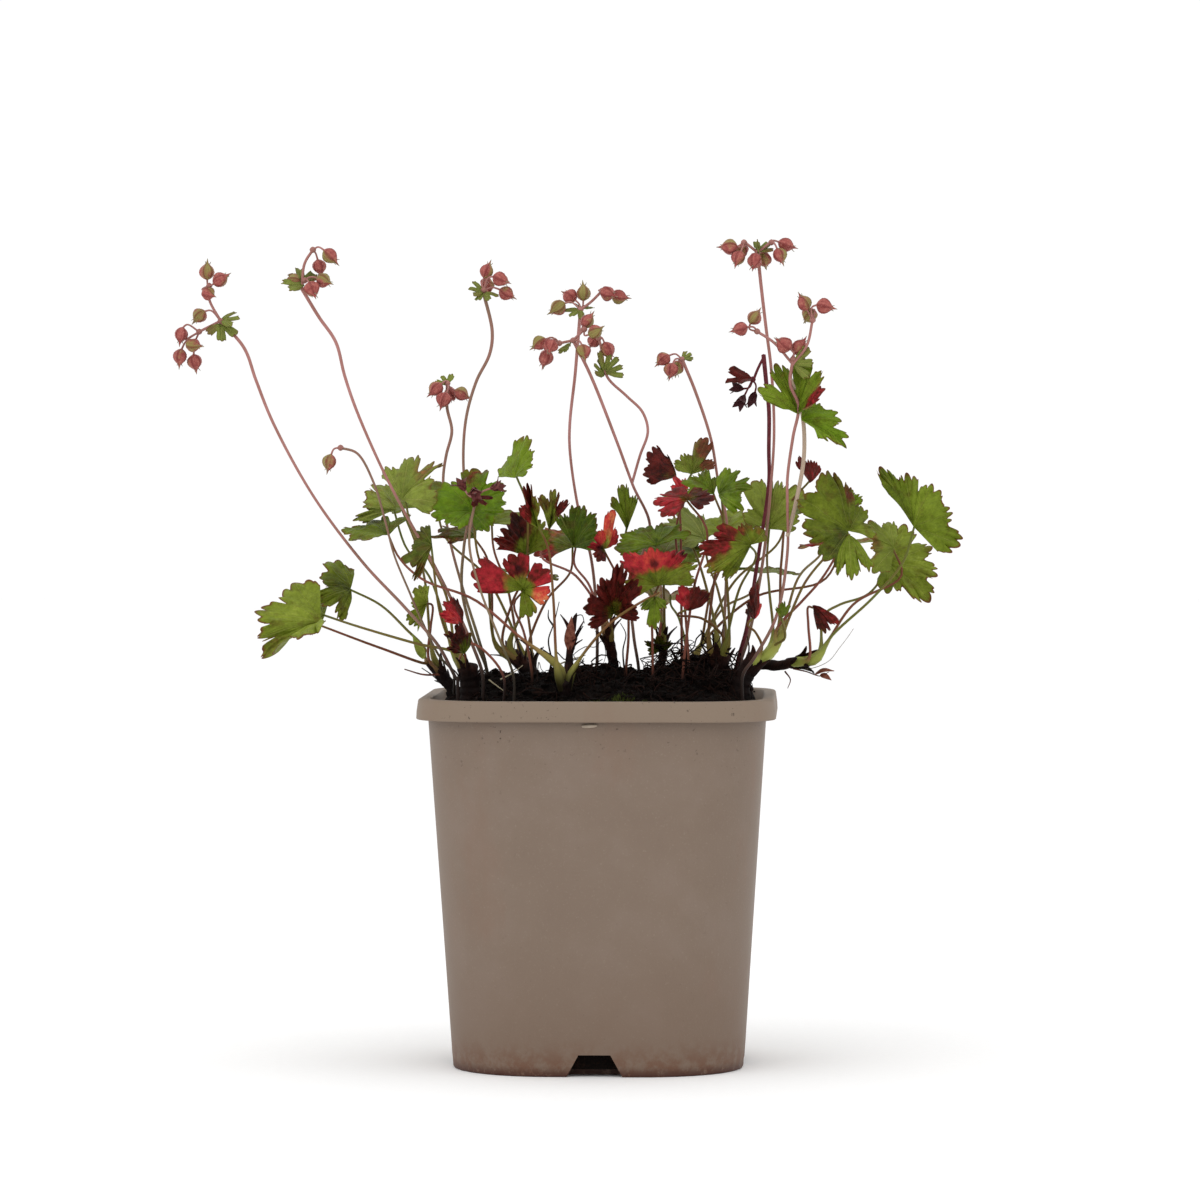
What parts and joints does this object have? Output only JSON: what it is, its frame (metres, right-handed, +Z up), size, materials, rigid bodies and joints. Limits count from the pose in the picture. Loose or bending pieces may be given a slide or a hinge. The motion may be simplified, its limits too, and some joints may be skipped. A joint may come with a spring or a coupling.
{
  "type": "potted biokovo cranesbill",
  "caption": "Low cranesbill in a square nursery pot of peat, with lobed green and reddened leaves, thin red stems, and nodding buds in clusters.",
  "frame": {"origin": "middle of the pot's foot, on the plane that it stands on", "axes": "+Z up, -Y towards the viewer of the picture, +X to the viewer's right"},
  "size_m": [0.2938, 0.1613, 0.3026],
  "materials": {
    "pot": "matte taupe recycled plastic",
    "peat": "moist crumbly peat",
    "foliage": "satin leaf",
    "red_foliage": "satin leaf",
    "stem": "satin fresh stem",
    "dead_stem": "dry dark stem"
  },
  "bodies": {
    "root": {"pot": "pot", "peat": "peat", "crown_a": "foliage", "crown_b": "foliage", "crown_c": "foliage", "crown_d": "foliage", "crown_e": "foliage", "crown_f": "foliage", "crown_g": "foliage", "crown_h": "foliage", "crown_i": "foliage", "crown_j": "foliage", "crown_k": "foliage", "red_leaf_a": "red_foliage", "red_leaf_b": "red_foliage", "red_leaf_c": "red_foliage", "red_leaf_d": "red_foliage", "red_leaf_e": "red_foliage", "red_leaf_f": "red_foliage", "red_leaf_g": "red_foliage", "flower_stem_a": "stem", "flower_stem_b": "stem", "flower_stem_c": "stem", "flower_stem_d": "stem", "flower_stem_e": "stem", "flower_stem_f": "stem", "flower_stem_g": "stem", "flower_stem_h": "stem", "flower_stem_i": "stem", "flower_stem_j": "stem", "flower_stem_k": "stem", "dead_stem": "dead_stem"}
  },
  "joints": []
}
